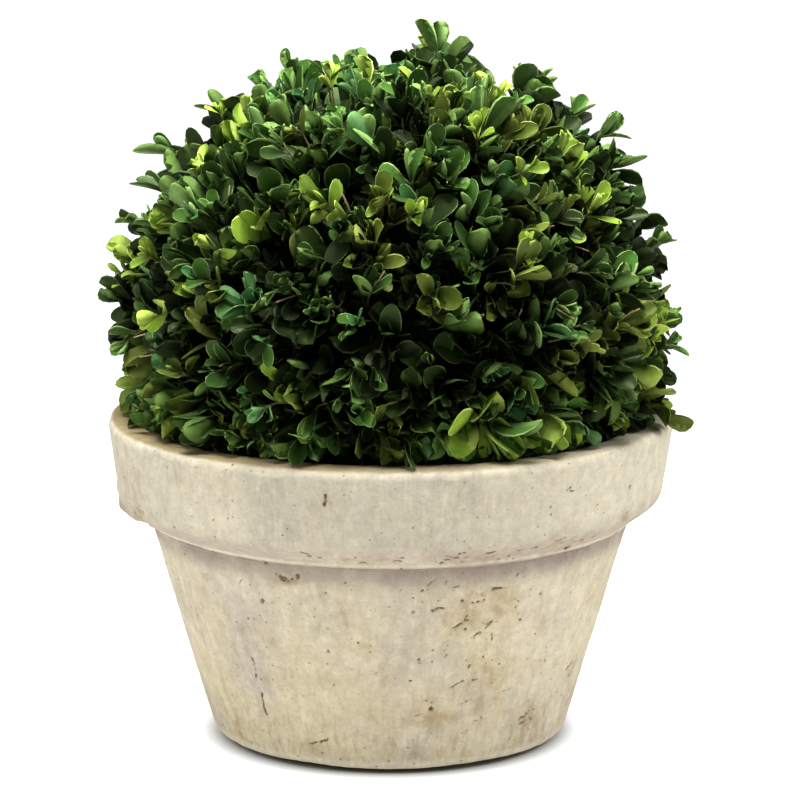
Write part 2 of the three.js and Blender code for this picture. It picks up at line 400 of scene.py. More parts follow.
def fromMarks(points, marks):
    # On the unrolled wall: how far each point is from the nearest mark's edge, how deep it is cut and how
    # dirty it is. A mark is a line with round ends, cut deepest along its middle.
    around, radius = np.arctan2(points[:, 1], points[:, 0]), np.hypot(points[:, 0], points[:, 1])
    away, cut, dirt = np.full(len(points), 1.0), np.zeros(len(points)), np.zeros(len(points))
    wander = [0.45 * mm * softNoise(points, 1.6 * mm, potShape["seed"] + k) for k in (5, 8)]
    broken = 0.35 + 0.65 * smoothStep(softNoise(points, 0.9 * mm, potShape["seed"] + 9), -0.35, 0.1)
    for azimuth, height, length, slope, width, depth in marks:
        turn = np.remainder(around - math.radians(azimuth) + math.pi, math.tau) - math.pi
        rise = points[:, 2] - height * mm
        near = np.flatnonzero((np.abs(turn) * radius < 8 * mm) & (np.abs(rise) < 8 * mm))
        x, y = turn[near] * radius[near] + wander[0][near], rise[near] + wander[1][near]
        ahead, up = math.cos(math.radians(slope)), math.sin(math.radians(slope))
        off = np.hypot(np.maximum(np.abs(x * ahead + y * up) - length / 2 * mm, 0), y * ahead - x * up)
        whole = np.maximum(broken[near], smoothStep(depth, 0.5, 1.1))  # a deep mark is less broken
        mask = (1 - smoothStep(off, 0.2 * width * mm, 1.05 * width * mm)) * whole
        away[near] = np.minimum(away[near], off - width / 2 * mm)
        cut[near] = np.maximum(cut[near], 0.7 * depth * mm * mask)
        dirt[near] = np.maximum(dirt[near], mask * min(1, depth / 0.5))
    return away, cut, dirt


def stainAndSlopeShadeAmount(points):
    # soft ellipses on the wall, broken up by noise
    azimuth, radius = np.arctan2(points[:, 1], points[:, 0]), np.hypot(points[:, 0], points[:, 1])
    total = np.zeros(len(points))
    for a, z, along, up, strength in stainsAndSlopeShade:
        turn = np.remainder(azimuth - math.radians(a) + math.pi, math.tau) - math.pi
        rise = points[:, 2] - z * mm
        total += strength * np.exp(-(turn * radius / (along * mm)) ** 2 - (rise / (up * mm)) ** 2)
    return np.clip(total * (0.75 + 0.5 * softNoise(points, 5 * mm, potShape["seed"] + 6)), 0, 1)


def wallMesh(name, points, row, faces, near, cuts):
    # a closed mesh whose faces near a mark are cut finer
    mesh = bpy.data.meshes.new(name)
    mesh.from_pydata(points, [], faces.tolist())
    mesh.attributes.new("row", "FLOAT", "POINT").data.foreach_set("value", row.astype(np.float32))
    shell = bmesh.new()
    shell.from_mesh(mesh)
    shell.faces.ensure_lookup_table()
    chosen = {edge for f in np.flatnonzero(near[faces].any(1)) for edge in shell.faces[f].edges}
    bmesh.ops.subdivide_edges(shell, edges=list(chosen), cuts=cuts, use_grid_fill=True)
    bmesh.ops.triangulate(shell, faces=[f for f in shell.faces if len(f.verts) > 4])
    shell.to_mesh(mesh)
    shell.free()
    return mesh


def turnedWall(outside, inside, s, name, material):
    fineRows, coarseRows = resample(outside, s["fine"]), resample(inside, s["coarse"])
    outline = np.concatenate([fineRows, coarseRows])
    shownRows = np.concatenate([np.ones(len(fineRows)), np.zeros(len(coarseRows))])
    step = np.roll(outline, -1, axis=0) - np.roll(outline, 1, axis=0)
    outward = unit(np.stack([step[:, 1], -step[:, 0]], 1))
    onward, before = unit(np.roll(outline, -2, axis=0) - outline), unit(outline - np.roll(outline, 2, axis=0))
    bendRows = np.linalg.norm(onward - before, axis=1) * shownRows
    angle = np.linspace(0, math.tau, s["columns"], endpoint=False)
    ring = np.stack([np.cos(angle), np.sin(angle), np.zeros_like(angle)], 1)
    up = np.array([0, 0, 1.0])
    points = (outline[:, None, :1] * ring[None] + outline[:, None, 1:] * up).reshape(-1, 3)
    rows, columns = len(outline), len(angle)
    index = np.arange(rows * columns).reshape(rows, columns)
    nextRow, nextColumn = np.roll(index, -1, axis=0), np.roll(index, -1, axis=1)
    faces = np.stack([index, nextColumn, np.roll(nextRow, -1, axis=1), nextRow], -1).reshape(-1, 4)
    row = np.repeat(np.arange(rows), columns)
    marks = wallMarks(s)
    near = (fromMarks(points, marks)[0] < s["nearMark"]) & (shownRows[row] > 0)
    mesh = wallMesh(name, points, row, faces, near, s["markCuts"])
    count = len(mesh.vertices)
    points, row = np.empty(count * 3, np.float32), np.empty(count, np.float32)
    mesh.vertices.foreach_get("co", points)
    mesh.attributes["row"].data.foreach_get("value", row)
    points = points.reshape(-1, 3).astype(float)
    rowValues = (outward[:, 0], outward[:, 1], shownRows, bendRows)
    sideways, upward, shown, bend = (np.interp(row, np.arange(rows), values) for values in rowValues)
    around = np.arctan2(points[:, 1], points[:, 0])
    normals = unit(np.stack([sideways * np.cos(around), sideways * np.sin(around), upward], 1))
    seed = s["seed"]
    push = s["hand"] * softNoise(points, s["handSize"], seed)
    push += s["trowel"] * softNoise(points * [1, 1, 0.45], s["trowelSize"], seed + 1)
    push += s["grain"] * softNoise(points, s["grainSize"], seed + 2)
    brush = np.stack([around * s["base"], points[:, 2] / 14, 0 * around], -1)
    push += s["brush"] * softNoise(brush, s["brushSize"], seed + 3)
    worn = np.clip(bend * 1.6, 0, 1) * (0.5 + 0.5 * softNoise(points, 4 * mm, seed + 4))
    push -= s["wear"] * worn ** 2
    turn = (np.degrees(around) - s["brokenAt"] + 180) % 360 - 180
    lumps = 0.85 + 0.5 * softNoise(points * [0.6, 0.25, 1], 2.8 * mm, seed + 7)
    for height, spread, proud in s["brokenRidges"]:
        rise = (points[:, 2] / mm - height) / spread
        ridge = np.exp(-(turn / s["brokenReach"]) ** 2 - rise ** 2) * (upward < 0.2)
        push += proud * mm * ridge * lumps
    _, cut, dirt = fromMarks(points, marks)
    push = (push - cut) * shown * smoothStep(points[:, 2], 0.1 * mm, 1.9 * mm)  # the underside stays flat
    mesh.vertices.foreach_set("co", (points + normals * push[:, None]).astype(np.float32).ravel())
    lipTop = smoothStep(upward, 0.75, 0.97) * shown * (points[:, 2] > potHeight - 3 * mm)
    lipTop *= 0.6 + 0.4 * np.cos(around - math.radians(s["brownLip"]))
    mesh.attributes.remove(mesh.attributes["row"])
    painted = {"dirt": dirt * shown, "worn": worn, "lipTop": lipTop, "stainAndSlopeShade": stainAndSlopeShadeAmount(points) * shown}
    for key, values in painted.items():
        mesh.attributes.new(key, "FLOAT", "POINT").data.foreach_set("value", values.astype(np.float32))
    mesh.materials.append(material)
    mesh.polygons.foreach_set("use_smooth", np.ones(len(mesh.polygons), bool))
    mesh.update()
    mesh.calc_loop_triangles()
    piece = bpy.data.objects.new(name, mesh)
    bpy.context.scene.collection.objects.link(piece)
    standFor(piece, "pot")
    print(name, len(mesh.loop_triangles), "triangles")


limewash = {
    "colours": {
        "cream": "#bdb5a0",
        "lilacGrey": "#aca397",
        "warmClay": "#c4b899",
        "bareClay": "#a38d69",
        "thick": "#d5ccb5",
        # painted shade for the crease: below its ledge and on the collar's slope above it
        "creasePaintedShade": "#8e8175",
        "lip": "#958561",
        "stainAndSlopeShade": "#a08a63",
        "dirt": "#513c22",
        "speck": "#68523a",
    },
    "noises": {  # size, stretch up the wall, detail, roughness
        "patches": (30 * mm, 0.7, 3, 0.55),
        "drift": (45 * mm, 0.5, 2, 0.5),
        "blots": (9 * mm, 0.8, 4, 0.6),
        "strokes": (3.2 * mm, 0.09, 3, 0.6),
        "mottle": (4 * mm, 1, 5, 0.65),
        "footward": (1.6 * mm, 0.07, 2, 0.5),
        "grains": (0.9 * mm, 1, 3, 0.6),
    },
    "painted": ["stainAndSlopeShade", "worn", "lipTop", "dirt"],  # attributes of the wall's own mesh
    # Coats over the cream, first to last: the colour, then its masks as source, from, to, least and most.
    # A coat's masks are multiplied.
    "coats": [
        ("warmClay", [("height", 0.086, 0.045, 0, 0.8)]),
        ("lilacGrey", [("patches", 0.45, 0.72, 0, 0.75)]),
        ("thick", [("drift", 0.5, 0.75, 0, 0.45)]),
        ("bareClay", [("blots", 0.52, 0.72, 0, 0.4)]),
        ("thick", [("blots", 0.46, 0.3, 0, 0.4)]),
        ("bareClay", [("strokes", 0.5, 0.8, 0, 0.45)]),
        ("thick", [("strokes", 0.46, 0.25, 0, 0.45)]),
        ("bareClay", [("height", 0.03, 0.008, 0, 0.45), ("footward", 0.48, 0.66, 0, 0.7)]),
        # brown stains, and painted shade on the collar's lower slope
        ("stainAndSlopeShade", [("stainAndSlopeShade", 0, 1, 0, 1), ("mottle", 0.3, 0.6, 0.35, 0.95)]),
        # painted shade: a grey band just under the crease ledge, darkest right below it
        ("creasePaintedShade", [
            ("height", 0.065, 0.0742, 0, 1), ("height", 0.0766, 0.0752, 0, 1), ("patches", 0.3, 0.6, 0.55, 1),
        ]),
        # painted shade on the collar's downward-facing lower slope above the crease
        ("creasePaintedShade", [
            ("height", 0.0762, 0.0775, 0, 0.65), ("height", 0.0865, 0.081, 0, 1), ("drift", 0.3, 0.6, 0.5, 1),
        ]),
        ("thick", [("worn", 0.15, 0.6, 0, 0.45), ("height", 0.078, 0.1, 0.3, 1)]),
        ("thick", [("across", 0.015, 0.075, 0, 0.6), ("height", 0.084, 0.09, 0, 1)]),
        ("thick", [("height", 0.0058, 0.0035, 0, 0.7)]),
        ("lip", [("lipTop", 0, 1, 0, 1)]),
        ("speck", [("speck", 0, 1, 0, 1), ("blots", 0.42, 0.6, 0.1, 1), ("grains", 0.35, 0.6, 0.3, 0.9)]),
        ("dirt", [("dirt", 0.2, 0.85, 0, 0.85), ("grains", 0.3, 0.55, 0.55, 1)]),
    ],
    # masks that darken or lighten
    "tones": [("mottle", 0.3, 0.7, 1.07, 0.88), ("grains", 0.3, 0.7, 1.05, 0.94)],
    "holes": 2 * mm,  # spacing of the grit holes' cells
}


def makeLimewashedClay(s):
    # Limewashed low-fired clay: chalky and matt, cream over tan, thin in brushed streaks, with dark pits and
    # scores.
    material, tree = newMaterial("limewashedClay")
    place = addNode(tree, "ShaderNodeTexCoord").outputs["Object"]
    axes = addNode(tree, "ShaderNodeSeparateXYZ", links={"Vector": place}).outputs
    sources = {"height": axes["Z"], "across": axes["X"]}
    for name, (size, stretch, detail, roughness) in s["noises"].items():
        drawn = addNode(tree, "ShaderNodeMapping", {"Scale": (1, 1, stretch)}, {"Vector": place})
        noise = addNode(tree, "ShaderNodeTexNoise",
                        {"Scale": 1 / size, "Detail": detail, "Roughness": roughness},
                        {"Vector": drawn.outputs["Vector"]})
        sources[name] = noise.outputs["Fac"]
    for name in s["painted"]:
        sources[name] = addNode(tree, "ShaderNodeAttribute", attribute_name=name).outputs["Fac"]
    cells = addNode(tree, "ShaderNodeTexVoronoi", {"Scale": 1 / s["holes"], "Randomness": 1.0},
                    {"Vector": place})
    dealt = addNode(tree, "ShaderNodeSeparateColor", links={"Color": cells.outputs["Color"]}).outputs["Red"]
    # half of the cells hold a grit hole, the largest 0.4 mm in radius
    size = addNode(tree, "ShaderNodeMapRange",
                   {"From Min": 0.5, "From Max": 1.0, "To Min": -0.1, "To Max": 0.2},
                   {"Value": dealt}).outputs["Result"]
    edge = addNode(tree, "ShaderNodeMath", {1: 0.1}, {0: size}, operation="ADD").outputs["Value"]
    speck = addNode(tree, "ShaderNodeMapRange", {"To Min": 1.0, "To Max": 0.0},
                    {"Value": cells.outputs["Distance"], "From Min": size, "From Max": edge})
    sources["speck"] = speck.outputs["Result"]
    first = addNode(tree, "ShaderNodeRGB")
    first.outputs["Color"].default_value = linear(s["colours"]["cream"])
    base = first.outputs["Color"]
    for colour, masks in s["coats"] + [(None, [tone]) for tone in s["tones"]]:
        amount = None
        for source, low, high, least, most in masks:
            span = {"From Min": low, "From Max": high, "To Min": least, "To Max": most}
            mask = addNode(tree, "ShaderNodeMapRange", span, {"Value": sources[source]},
                           interpolation_type="SMOOTHSTEP").outputs["Result"]
            if amount is None:
                amount = mask
            else:
                amount = addNode(tree, "ShaderNodeMath", links={0: amount, 1: mask},
                                 operation="MULTIPLY").outputs["Value"]
        if colour:
            base = addNode(tree, "ShaderNodeMix", {7: linear(s["colours"][colour])}, {0: amount, 6: base},
                           data_type="RGBA").outputs[2]
        else:
            base = addNode(tree, "ShaderNodeHueSaturation", {},
                           {"Color": base, "Value": amount}).outputs["Color"]
    relief = sources["mottle"]
    for source, share in (("speck", -1.2), ("grains", 0.35), ("blots", 0.5)):
        relief = addNode(tree, "ShaderNodeMath", {1: share}, {0: sources[source], 2: relief},
                         operation="MULTIPLY_ADD").outputs["Value"]
    bump = addNode(tree, "ShaderNodeBump", {"Strength": 0.5, "Distance": 0.25 * mm}, {"Height": relief})
    wash = addNode(tree, "ShaderNodeBsdfPrincipled",
                   {"Roughness": 0.9, "IOR": 1.45, "Specular IOR Level": 0.25},
                   {"Base Color": base, "Normal": bump.outputs["Normal"]})
    finishMaterial(tree, wash)
    return material


clay = makeLimewashedClay(limewash)
turnedWall(*bodyOutlines(potShape), potShape, "potBody", clay)
turnedWall(*collarOutlines(potShape), potShape, "potCollar", clay)
print("pot turned")

# The potting mix is a flat disc with crumbs and bark chips pushed up from it.
mixShape = {
    "rings": 62,
    "columns": 230,
    "crumb": 1.6 * mm,
    "crumbSize": 5 * mm,
    "grit": 0.6 * mm,
    "gritSize": 2 * mm,
    "seed": 23,
}


def makeGrained(name, dark, light, s):
    # a dull colour that varies with one noise, which also lifts the grain
    material, tree = newMaterial(name)
    place = addNode(tree, "ShaderNodeTexCoord").outputs["Object"]
    grain = addNode(tree, "ShaderNodeTexNoise",
                    {"Scale": 1 / s["size"], "Detail": s["detail"], "Roughness": s["broken"]},
                    {"Vector": place})
    colour = addNode(tree, "ShaderNodeMix", {6: linear(dark), 7: linear(light)}, {0: grain.outputs["Fac"]},
                     data_type="RGBA")
    bump = addNode(tree, "ShaderNodeBump", {"Strength": s["bump"], "Distance": s["relief"]},
                   {"Height": grain.outputs["Fac"]})
    dull = addNode(tree, "ShaderNodeBsdfPrincipled",
                   {"Roughness": s["dull"], "Specular IOR Level": s["level"]},
                   {"Base Color": colour.outputs[2], "Normal": bump.outputs["Normal"]})
    finishMaterial(tree, dull)
    return material


# Moist peat and composted bark: almost black, dull, with paler fibres.
peat = {
    "size": 3 * mm, "detail": 5, "broken": 0.7, "bump": 0.8, "relief": 0.6 * mm, "dull": 0.95, "level": 0.25,
}
# Box bark: thin, corky and pale grey-brown, in fine ridges along the limb. The young twigs' is finer.
bark = {
    "size": 1.2 * mm, "detail": 4, "broken": 0.6, "bump": 0.5, "relief": 0.2 * mm, "dull": 0.85, "level": 0.3,
}
fineBark = dict(bark, size=0.8 * mm)


def makePottingMix(s):
    low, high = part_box("potting_mix")
    top, reach = high.z - 2 * mm, high.x - 0.3 * mm
    share = np.linspace(1, 1 / s["rings"], s["rings"])
    angle = np.linspace(0, math.tau, s["columns"], endpoint=False)
    foot = innerRadiusAt(low.z, potShape) - 3 * mm
    radius = np.concatenate([[foot * 0.5, foot, reach], reach * share])
    height = np.concatenate([[low.z, low.z, top - 1 * mm], np.full(s["rings"], top)])
    points = np.stack([radius[:, None] * np.cos(angle), radius[:, None] * np.sin(angle),
                       np.repeat(height[:, None], s["columns"], 1)], -1)
    crumbs = s["crumb"] * np.abs(softNoise(points, s["crumbSize"], s["seed"]))
    crumbs += s["grit"] * softNoise(points, s["gritSize"], s["seed"] + 1)
    points[3:, :, 2] += crumbs[3:]
    rows, columns = points.shape[:2]
    index = np.arange(rows * columns).reshape(rows, columns)
    around = np.roll(index, -1, axis=1)
    walls = np.stack([index[:-1], around[:-1], around[1:], index[1:]], -1).reshape(-1, 4)
    points = np.concatenate([points.reshape(-1, 3), [[0, 0, low.z], [0, 0, top]]])
    under = np.stack([np.full(columns, rows * columns), around[0], index[0]], -1)
    over = np.stack([np.full(columns, rows * columns + 1), index[-1], around[-1]], -1)
    piece = makePiece("pottingMix", points, [walls, under, over],
                      [makeGrained("peatAndBark", "#1c130c", "#4b3421", peat)])
    standFor(piece, "potting_mix")


makePottingMix(mixShape)
print("potting mix filled")

# The stem, the boughs and the twigs are tubes carried along paths.
stemLow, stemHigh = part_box("stem")
crownLow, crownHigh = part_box("foliage_ball")

stemShape = {
    "foot": 8.5 * mm,
    "waist": 5.6 * mm,
    "tip": 4.2 * mm,
    "flareHeight": 12 * mm,
    "flare": 0.16,
    "buttresses": 5,
    "lean": 2 * mm,
    "bark": 0.07,  # share of the radius that the bark's ridges stand proud
    "rings": 90,
    "sides": 72,
    "seed": 31,
}


def tubeMesh(centres, radii, sides, relief=None):
    # rings of "sides" points round each path (paths, stations, 3), closed by a point at each end
    paths, stations = centres.shape[:2]
    along = unit(np.gradient(centres, axis=1))
    aside = np.where(np.abs(along[..., 2:]) > 0.9, [1.0, 0, 0], [0, 0, 1.0])
    aside = np.repeat(aside[:, :1], stations, 1)
    first = unit(np.cross(aside, along))
    second = np.cross(along, first)
    angle = np.linspace(0, math.tau, sides, endpoint=False)
    swell = radii[..., None] * (1 + (relief if relief is not None else 0))
    turned = first[:, :, None] * np.cos(angle)[:, None] + second[:, :, None] * np.sin(angle)[:, None]
    rings = centres[:, :, None] + swell[..., None] * turned
    foot = centres[:, 0] - along[:, 0] * radii[:, :1] * 0.3
    tip = centres[:, -1] + along[:, -1] * radii[:, -1:] * 0.6
    ends = np.stack([foot, tip], 1)
    perPath = stations * sides + 2
    points = np.concatenate([rings.reshape(paths, -1, 3), ends], 1).reshape(-1, 3)
    index = np.arange(stations * sides).reshape(stations, sides)
    around = np.roll(index, -1, axis=1)
    walls = np.stack([index[:-1], around[:-1], around[1:], index[1:]], -1).reshape(-1, 4)
    start = np.stack([np.full(sides, stations * sides), around[0], index[0]], -1)
    finish = np.stack([np.full(sides, stations * sides + 1), index[-1], around[-1]], -1)
    offset = np.arange(paths)[:, None, None] * perPath
    return points, [(group + offset).reshape(-1, group.shape[1]) for group in (walls, start, finish)]


def makeStem(s, material):
    # radius: the taper plus a flare that dies away upwards, with buttresses and ridged bark
    share = np.linspace(0, 1, s["rings"])
    height = stemLow.z - 0.8 * mm + share * (stemHigh.z - stemLow.z + 0.8 * mm)
    centres = np.stack([s["lean"] * share ** 2, 0 * share, height], 1)[None]
    flare = np.exp(-share * (stemHigh.z - stemLow.z) / s["flareHeight"])
    radii = (s["waist"] + (s["tip"] - s["waist"]) * share + (s["foot"] - s["waist"]) * flare)[None]
    angle = np.linspace(0, math.tau, s["sides"], endpoint=False)
    buttress = s["flare"] * flare[:, None] * np.cos(s["buttresses"] * angle)
    level = 0 * height[:, None]
    spot = np.stack([np.cos(angle)[None] * s["waist"] + level, np.sin(angle)[None] * s["waist"] + level,
                     0 * angle[None] + height[:, None] / 5], -1)
    ridges = s["bark"] * np.abs(softNoise(spot, 1.6 * mm, s["seed"])) - s["bark"] * 0.5
    points, faces = tubeMesh(centres, radii, s["sides"], (buttress + ridges)[None])
    piece = makePiece("stemBark", points, faces, [material])
    standFor(piece, "stem")


stemBark = makeGrained("boxBark", "#3d3226", "#857660", bark)
twigBark = makeGrained("youngTwigs", "#3c3a20", "#66682f", fineBark)
dryBark = makeGrained("dryTwigs", "#6b5438", "#b39a72", fineBark)
makeStem(stemShape, stemBark)
print("stem grown")

crown = {
    "seed": 5,
    "lowest": -30,  # degrees of elevation below which no limb is sent
    "limbs": [  # how many, share of the way to the clipped surface, radius at the foot
        (9, 0.34, 2.7 * mm),
        (44, 0.54, 1.6 * mm),
        (190, 0.68, 1.0 * mm),
    ],
    "layers": [  # sprays: how many, and how deep their tips lie under the clipped surface
        {"count": 690, "lowest": -20, "inset": (6 * mm, 14 * mm)},
        {"count": 300, "lowest": -18, "inset": (19 * mm, 28 * mm)},
    ],
    "hollows": 5 * mm,  # how much deeper the tips lie between clumps
    "hollowSize": 26 * mm,
    "topSprig": (57, 76, 6.5 * mm, 0.016),  # one sprig stands up there: azimuth, elevation, height and spread
    "skirt": 105,  # sprays that lean on the pot's lip
    "skirtRadius": (70, 80),
    "skirtRise": (4, 12),  # over the lip
    "skirtOut": (205, 0.6, 3 * mm),  # they reach further out there: azimuth, radians to each side, how far
    "shoots": 110,  # short young shoots that the shears missed
    "bareTwigs": 70,
    "bareLength": (10, 19),
    "bareRadius": (0.38 * mm, 0.24 * mm),  # at the foot and the tip
    "sprayRadius": 0.5 * mm,
    "limbSides": (12, 9, 7),  # of the tubes, level by level
    "twigSides": 5,
    "uneven": 0.5,  # of the spacing of the spiral
    "wander": 38,  # degrees that a spray leans off the line out from the middle
}
# Sprays that reach the clipped surface: azimuth, elevation, depth in mm, and how far each leans up or down.
outlineSprays = [
    (47, 77, 9, 0.3), (62, 82, 13, 0.3), (21, 60, 12, 0.2), (14, 49, 8, 0.1), (11, 42, 5, 0), (8, 36, 6, 0),
    (5, 30, 5, 0), (154, 65, 6, 0.2), (158, 59, 7, 0.2), (165, 51, 7, 0.1), (171, 38, 6, 0),
    (173, 30, 6, 0), (175, 22, 4, 0), (177, 15, 7, 0), (179, 6, 8, 0), (0, 2, 9, 0), (-2, -9, 8, -0.1),
    (-4, -15, 6, -0.2), (4, 22, 4, 0), (3, 14, 5, 0), (184, -16, 5, -0.2), (194, -16, 5, -0.2),
    (204, -16, 5, -0.3), (214, -16, 5, -0.3), (226, -16, 5, -0.4), (100, 84, 12, 0.2), (-14, -15, -2, 0.15),
    (-20, -15, 3, -0.3), (-30, -15, 7, -0.5), (-70, -15, 5, -0.9), (-88, -16, 1, -0.5), (-93, -15, 5, -1.0),
    (-118, -15, 6, -0.8), (-138, -14, 6, -0.6),
]
crownMiddle = np.array([2, 0, 138.5]) * mm


def crownReach(directions):
    # how far the clipped surface is from the middle in each direction
    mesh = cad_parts["foliage_ball"].data
    tree = BVHTree.FromPolygons([v.co for v in mesh.vertices], [p.vertices for p in mesh.polygons])
    hits = [tree.ray_cast(Vector(crownMiddle) + Vector(d) * 0.15, -Vector(d), 0.15) for d in directions]
    return np.array([(h[0] - Vector(crownMiddle)).length if h[0] else 0.09 for h in hits])


def wayOf(azimuth, elevation):
    a, e = np.radians(azimuth), np.radians(elevation)
    return np.stack([np.cos(a) * np.cos(e), np.sin(a) * np.cos(e), np.sin(e)], -1)


def spreadDirections(count, lowest, uneven, rng):
    # a golden-angle spiral over the sphere above "lowest", each shifted a little
    bottom = math.sin(math.radians(lowest))
    k = np.arange(count)
    z = 1 - (1 - bottom) * (k + 0.5) / count
    turn = k * math.pi * (3 - math.sqrt(5)) + rng.uniform(0, math.tau)
    ring = np.sqrt(1 - z * z)
    directions = np.stack([ring * np.cos(turn), ring * np.sin(turn), z], 1)
    spacing = math.sqrt(2 * math.pi * (1 - bottom) / count)
    return unit(directions + rng.normal(0, uneven * spacing, directions.shape))


def curvedPaths(starts, startWays, ends, endWays, stations=8):
    # cubic curves that leave along one direction and arrive along another
    t = np.linspace(0, 1, stations)[None, :, None]
    span = np.linalg.norm(ends - starts, axis=1)[:, None]
    a, b, c, d = starts, starts + startWays * span * 0.35, ends - endWays * span * 0.35, ends
    return ((1 - t) ** 3 * a[:, None] + 3 * (1 - t) ** 2 * t * b[:, None] + 3 * (1 - t) * t ** 2 * c[:, None]
            + t ** 3 * d[:, None])


def growLimbs(c, rng):
    # each bud joins the limb whose end is nearest, level by level, from the stem outwards
    limbs, parents, parentWays = [], None, None
    for count, share, foot in c["limbs"]:
        ways = spreadDirections(count, c["lowest"], 0.35, rng)
        ends = crownMiddle + ways * (crownReach(ways) * share * rng.uniform(0.92, 1.08, count))[:, None]
        if parents is None:
            height = stemHigh.z - 3 * mm - (1 - ways[:, 2]) * 15 * mm
            height = np.clip(height, stemLow.z + 10 * mm, stemHigh.z)
            rise = (height - stemLow.z) / (stemHigh.z - stemLow.z)
            starts = np.stack([stemShape["lean"] * rise ** 2, 0 * rise, height], 1)
            startWays = unit(ways * [1, 1, 0.3] + [0, 0, 0.7])
        else:
            nearest = np.linalg.norm(ends[:, None] - parents[None], axis=2).argmin(1)
            starts, startWays = parents[nearest], parentWays[nearest]
        endWays = unit(ways + rng.normal(0, 0.15, ways.shape))
        paths = curvedPaths(starts, startWays, ends, endWays)
        paths[:, 1:-1] += rng.normal(0, 0.5 * mm, paths[:, 1:-1].shape)
        limbs.append((paths, np.linspace(foot, foot * 0.62, paths.shape[1])[None].repeat(count, 0)))
        parents, parentWays = ends, endWays
    return limbs, parents, parentWays


def trimmedReach(c, ways):
    # the clipped surface without its swelling round the top sprig, a bell over 1 - cos of the angle from it
    azimuth, elevation, height, spread = c["topSprig"]
    return crownReach(ways) - height * np.exp((ways @ wayOf(azimuth, elevation) - 1) / spread)


def growSprays(c, parents, parentWays, rng):
    # the layers under the clipped surface, the outline's own, those on the lip and the young shoots
    ends, endWays, depth = [], [], []
    for layer in c["layers"]:
        ways = spreadDirections(layer["count"], layer["lowest"], c["uneven"], rng)
        inset = rng.uniform(*layer["inset"], layer["count"])
        inset = inset + c["hollows"] * (0.4 - softNoise(ways * 92 * mm, c["hollowSize"], c["seed"]))
        inset += 1.5 * mm + 2.5 * mm * smoothStep(-ways[:, 2], -0.08, 0.1)  # the crown draws in above the lip
        ends.append(crownMiddle + ways * (trimmedReach(c, ways) - inset)[:, None])
        lean = 0.7 * smoothStep(ways[:, 2:], -0.3, 0.3) - 0.32  # up in the upper part, down near the pot
        strayed = rng.normal(0, math.radians(c["wander"]) * 0.6, ways.shape)
        endWays.append(unit(ways + strayed + lean * [0, 0, 1]))
        depth.append(inset)
    azimuth, elevation, inset, lean = np.array(outlineSprays, float).T
    ways = wayOf(azimuth, elevation)
    ends.append(crownMiddle + ways * (crownReach(ways) - inset * mm)[:, None])
    endWays.append(unit(ways + rng.normal(0, 0.12, ways.shape) + lean[:, None] * [0, 0, 1.0]))
    depth.append(np.full(len(ways), 8 * mm))
    around = np.arange(c["skirt"]) * math.tau / c["skirt"] + rng.normal(0, 0.03, c["skirt"])
    out = np.stack([np.cos(around), np.sin(around), 0 * around], 1)
    middle, spread, further = c["skirtOut"]
    reach = further * np.exp(-((around - math.radians(middle)) / spread) ** 2)
    radius = rng.uniform(*c["skirtRadius"], c["skirt"]) * mm + reach
    height = potHeight + rng.uniform(*c["skirtRise"], c["skirt"]) * mm
    ends.append(out * radius[:, None] + height[:, None] * [0, 0, 1.0])
    droop = rng.uniform(-0.7, 0.0, c["skirt"])
    endWays.append(unit(out + droop[:, None] * [0, 0, 1.0] + rng.normal(0, 0.3, out.shape)))
    depth.append(rng.uniform(8, 15, c["skirt"]) * mm)
    ways = spreadDirections(c["shoots"], -15, 0.5, rng)
    ends.append(crownMiddle + ways * (trimmedReach(c, ways) - rng.uniform(1, 8, c["shoots"]) * mm)[:, None])
    endWays.append(unit(ways + rng.normal(0, 0.4, ways.shape) + [0, 0, 0.25]))
    depth.append(np.full(c["shoots"], 3 * mm))
    ends, endWays, depth = np.concatenate(ends), np.concatenate(endWays), np.concatenate(depth)
    nearest = np.linalg.norm(ends[:, None] - parents[None], axis=2).argmin(1)
    return curvedPaths(parents[nearest], parentWays[nearest], ends, endWays, 10), depth


crownRandom = np.random.default_rng(crown["seed"])
limbs, limbEnds, limbEndWays = growLimbs(crown, crownRandom)
sprays, sprayDepth = growSprays(crown, limbEnds, limbEndWays, crownRandom)


def makeLimbs():
    limbPoints, limbFaces, shift = [], [[], [], []], 0
    for level, (paths, radii) in enumerate(limbs):
        points, faces = tubeMesh(paths, radii, crown["limbSides"][level])
        limbPoints.append(points)
        for kind, group in enumerate(faces):
            limbFaces[kind].append(group + shift)
        shift += len(points)
    limbFaces = [np.concatenate(group) for group in limbFaces]
    piece = makePiece("boughs", np.concatenate(limbPoints), limbFaces, [stemBark])
    standFor(piece, "foliage_ball")
    taper = np.linspace(crown["sprayRadius"], crown["sprayRadius"] * 0.6, sprays.shape[1])
    radii = taper[None].repeat(len(sprays), 0)
    points, faces = tubeMesh(sprays, radii, crown["twigSides"])
    piece = makePiece("twigs", points, faces, [twigBark])
    standFor(piece, "foliage_ball")
    rng = np.random.default_rng(crown["seed"] + 1)
    some = rng.choice(crown["layers"][0]["count"], crown["bareTwigs"], replace=False)
    starts, way = sprays[some, 6], unit(sprays[some, 9] - sprays[some, 6])
    bareWay = unit(way + rng.normal(0, 0.35, way.shape))
    ends = starts + bareWay * rng.uniform(*crown["bareLength"], len(some))[:, None] * mm
    paths = curvedPaths(starts, way, ends, unit(bareWay + rng.normal(0, 0.2, way.shape)), 6)
    radii = np.linspace(*crown["bareRadius"], 6)[None].repeat(len(some), 0)
    points, faces = tubeMesh(paths, radii, crown["twigSides"])
    piece = makePiece("bareTwigs", points, faces, [dryBark])
    standFor(piece, "foliage_ball")


makeLimbs()
print("limbs grown")

